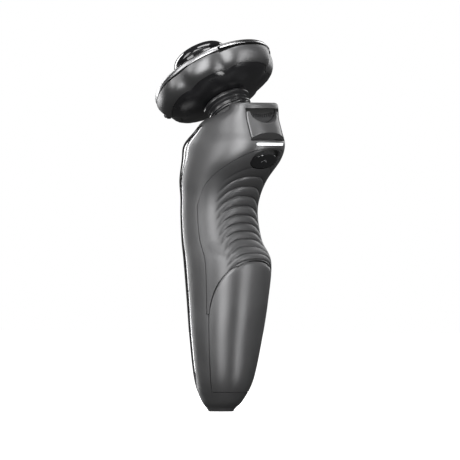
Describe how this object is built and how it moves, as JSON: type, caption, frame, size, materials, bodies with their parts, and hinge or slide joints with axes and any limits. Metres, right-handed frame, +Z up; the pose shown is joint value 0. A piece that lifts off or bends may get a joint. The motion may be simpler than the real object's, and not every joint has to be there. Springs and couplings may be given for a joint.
{
  "type": "rotary electric shaver",
  "caption": "Cordless rotary shaver: tilting round cutter head on a flexible neck, curved ribbed handle, pop-up trimmer and glossy front cover.",
  "frame": {"origin": "middle of the small flat at the bottom end of the handle", "axes": "+Z up along the handle, -Y the glossy front the head leans over, +X to the shaver's left side as seen from the front"},
  "size_m": [0.0572, 0.062, 0.1697],
  "materials": {
    "satin_grey": "satin metallic coating on plastic",
    "gloss_black": "high gloss",
    "chrome": "mirror-plated",
    "soft_rubber": "matt soft touch",
    "dark_plastic": "fine satin",
    "light_guide": "translucent white",
    "steel": "ground",
    "white_plastic": "natural acetal",
    "brass": "plated",
    "cell_sleeve": "shrink sleeve",
    "circuit_green": "solder mask"
  },
  "bodies": {
    "handle": {"rear_housing": "satin_grey", "front_cover": "gloss_black", "front_trim": "chrome", "grip_panel": "soft_rubber", "lower_rear_panel": "satin_grey", "light_bar": "light_guide", "chassis": "dark_plastic", "battery_cell": "cell_sleeve", "battery_contact_top": "brass", "battery_contact_bottom": "brass", "circuit_board": "circuit_green", "board_screw_1": "steel", "board_screw_2": "steel", "board_screw_3": "steel", "board_screw_4": "steel", "power_switch": "steel", "display_module": "dark_plastic", "display_window": "gloss_black", "charging_socket": "dark_plastic", "neck_collar": "dark_plastic", "neck_bellows_lower": "soft_rubber", "motor_case": "steel", "motor_end_cap": "white_plastic", "trimmer_hinge_pin": "steel"},
    "drive": {"drive_shaft": "steel", "motor_armature": "brass"},
    "neck_gimbal": {"neck_gimbal": "steel"},
    "head": {"head_base": "satin_grey", "neck_bellows_upper": "soft_rubber", "gear_plate": "steel"},
    "central_gear": {"central_gear": "white_plastic", "coupling_cup": "white_plastic"},
    "head_lid": {"chrome_frame": "chrome", "retaining_frame": "dark_plastic", "head_centre_cap": "dark_plastic", "head_hinge_pin": "steel"},
    "head_release": {"head_release_tab": "chrome"},
    "cutter_gear_1": {"cutter_gear_1": "white_plastic", "cutter_spindle_1": "steel"},
    "cutter_pod_1": {"cutter_ring_1": "dark_plastic", "cutter_foil_1": "steel"},
    "rotor_1": {"rotary_blade_1": "steel"},
    "cutter_gear_2": {"cutter_gear_2": "white_plastic", "cutter_spindle_2": "steel"},
    "cutter_pod_2": {"cutter_ring_2": "dark_plastic", "cutter_foil_2": "steel"},
    "rotor_2": {"rotary_blade_2": "steel"},
    "cutter_gear_3": {"cutter_gear_3": "white_plastic", "cutter_spindle_3": "steel"},
    "cutter_pod_3": {"cutter_ring_3": "dark_plastic", "cutter_foil_3": "steel"},
    "rotor_3": {"rotary_blade_3": "steel"},
    "trimmer": {"trimmer_door": "satin_grey", "trimmer_comb": "steel"},
    "trimmer_blade": {"trimmer_blade": "steel"},
    "trimmer_release": {"trimmer_release": "gloss_black"},
    "power_button": {"power_button": "gloss_black"}
  },
  "joints": [
    {"name": "neck_pitch", "type": "hinge", "parent": "handle", "child": "neck_gimbal", "pos_m": [0, 0.00534, 0.13837], "axis": [1, 0, 0], "range_deg": [-8, 8], "stiffness_Nm_per_rad": 1.2},
    {"name": "neck_roll", "type": "hinge", "parent": "neck_gimbal", "child": "head", "pos_m": [0, 0.00534, 0.13837], "axis": [0, 0.829, 0.5592], "range_deg": [-8, 8], "stiffness_Nm_per_rad": 1.2},
    {"name": "drive_spin", "type": "hinge", "parent": "handle", "child": "drive", "pos_m": [0, 0.0064, 0.1368], "axis": [0, -0.5592, 0.829], "continuous": true},
    {"name": "central_gear_spin", "type": "hinge", "parent": "head", "child": "central_gear", "pos_m": [0, 0.0064, 0.1368], "axis": [0, -0.5592, 0.829], "continuous": true},
    {"name": "head_lid_hinge", "type": "hinge", "parent": "head", "child": "head_lid", "pos_m": [0, -0.0287, 0.1352], "axis": [1, 0, 0], "range_deg": [0, 90]},
    {"name": "head_release_press", "type": "slide", "parent": "head_lid", "child": "head_release", "axis": [0, -0.829, -0.5592], "range_m": [0, 0.0008], "stiffness_N_per_m": 600, "springref_m": -0.0005},
    {"name": "cutter_gear_spin_1", "type": "hinge", "parent": "head", "child": "cutter_gear_1", "pos_m": [0.01299, 0.01262, 0.14099], "axis": [0, -0.5592, 0.829], "continuous": true},
    {"name": "cutter_float_1", "type": "slide", "parent": "head_lid", "child": "cutter_pod_1", "axis": [0, 0.5592, -0.829], "range_m": [0, 0.0012], "stiffness_N_per_m": 800, "springref_m": -0.0005},
    {"name": "rotor_spin_1", "type": "hinge", "parent": "cutter_pod_1", "child": "rotor_1", "pos_m": [0.01299, 0.01262, 0.14099], "axis": [0, -0.5592, 0.829], "continuous": true},
    {"name": "cutter_gear_spin_2", "type": "hinge", "parent": "head", "child": "cutter_gear_2", "pos_m": [0, -0.00604, 0.12841], "axis": [0, -0.5592, 0.829], "continuous": true},
    {"name": "cutter_float_2", "type": "slide", "parent": "head_lid", "child": "cutter_pod_2", "axis": [0, 0.5592, -0.829], "range_m": [0, 0.0012], "stiffness_N_per_m": 800, "springref_m": -0.0005},
    {"name": "rotor_spin_2", "type": "hinge", "parent": "cutter_pod_2", "child": "rotor_2", "pos_m": [0, -0.00604, 0.12841], "axis": [0, -0.5592, 0.829], "continuous": true},
    {"name": "cutter_gear_spin_3", "type": "hinge", "parent": "head", "child": "cutter_gear_3", "pos_m": [-0.01299, 0.01262, 0.14099], "axis": [0, -0.5592, 0.829], "continuous": true},
    {"name": "cutter_float_3", "type": "slide", "parent": "head_lid", "child": "cutter_pod_3", "axis": [0, 0.5592, -0.829], "range_m": [0, 0.0012], "stiffness_N_per_m": 800, "springref_m": -0.0005},
    {"name": "rotor_spin_3", "type": "hinge", "parent": "cutter_pod_3", "child": "rotor_3", "pos_m": [-0.01299, 0.01262, 0.14099], "axis": [0, -0.5592, 0.829], "continuous": true},
    {"name": "trimmer_hinge", "type": "hinge", "parent": "handle", "child": "trimmer", "pos_m": [0, 0.0272, 0.1254], "axis": [-1, 0, 0], "range_deg": [0, 55]},
    {"name": "trimmer_blade_stroke", "type": "slide", "parent": "trimmer", "child": "trimmer_blade", "axis": [1, 0, 0], "range_m": [-0.0008, 0.0008]},
    {"name": "trimmer_release_slide", "type": "slide", "parent": "handle", "child": "trimmer_release", "axis": [0, 0.59, 0.8074], "range_m": [0, 0.002], "stiffness_N_per_m": 300, "springref_m": -0.0003},
    {"name": "power_button_press", "type": "slide", "parent": "handle", "child": "power_button", "axis": [0, 1, 0], "range_m": [0, 0.0006], "stiffness_N_per_m": 900, "springref_m": -0.0003}
  ],
  "couplings": [
    {"joint": "central_gear_spin", "follows": "drive_spin", "ratio": 1},
    {"joint": "cutter_gear_spin_1", "follows": "drive_spin", "ratio": -1.1429},
    {"joint": "rotor_spin_1", "follows": "drive_spin", "ratio": -1.1429},
    {"joint": "cutter_gear_spin_2", "follows": "drive_spin", "ratio": -1.1429},
    {"joint": "rotor_spin_2", "follows": "drive_spin", "ratio": -1.1429},
    {"joint": "cutter_gear_spin_3", "follows": "drive_spin", "ratio": -1.1429},
    {"joint": "rotor_spin_3", "follows": "drive_spin", "ratio": -1.1429}
  ]
}
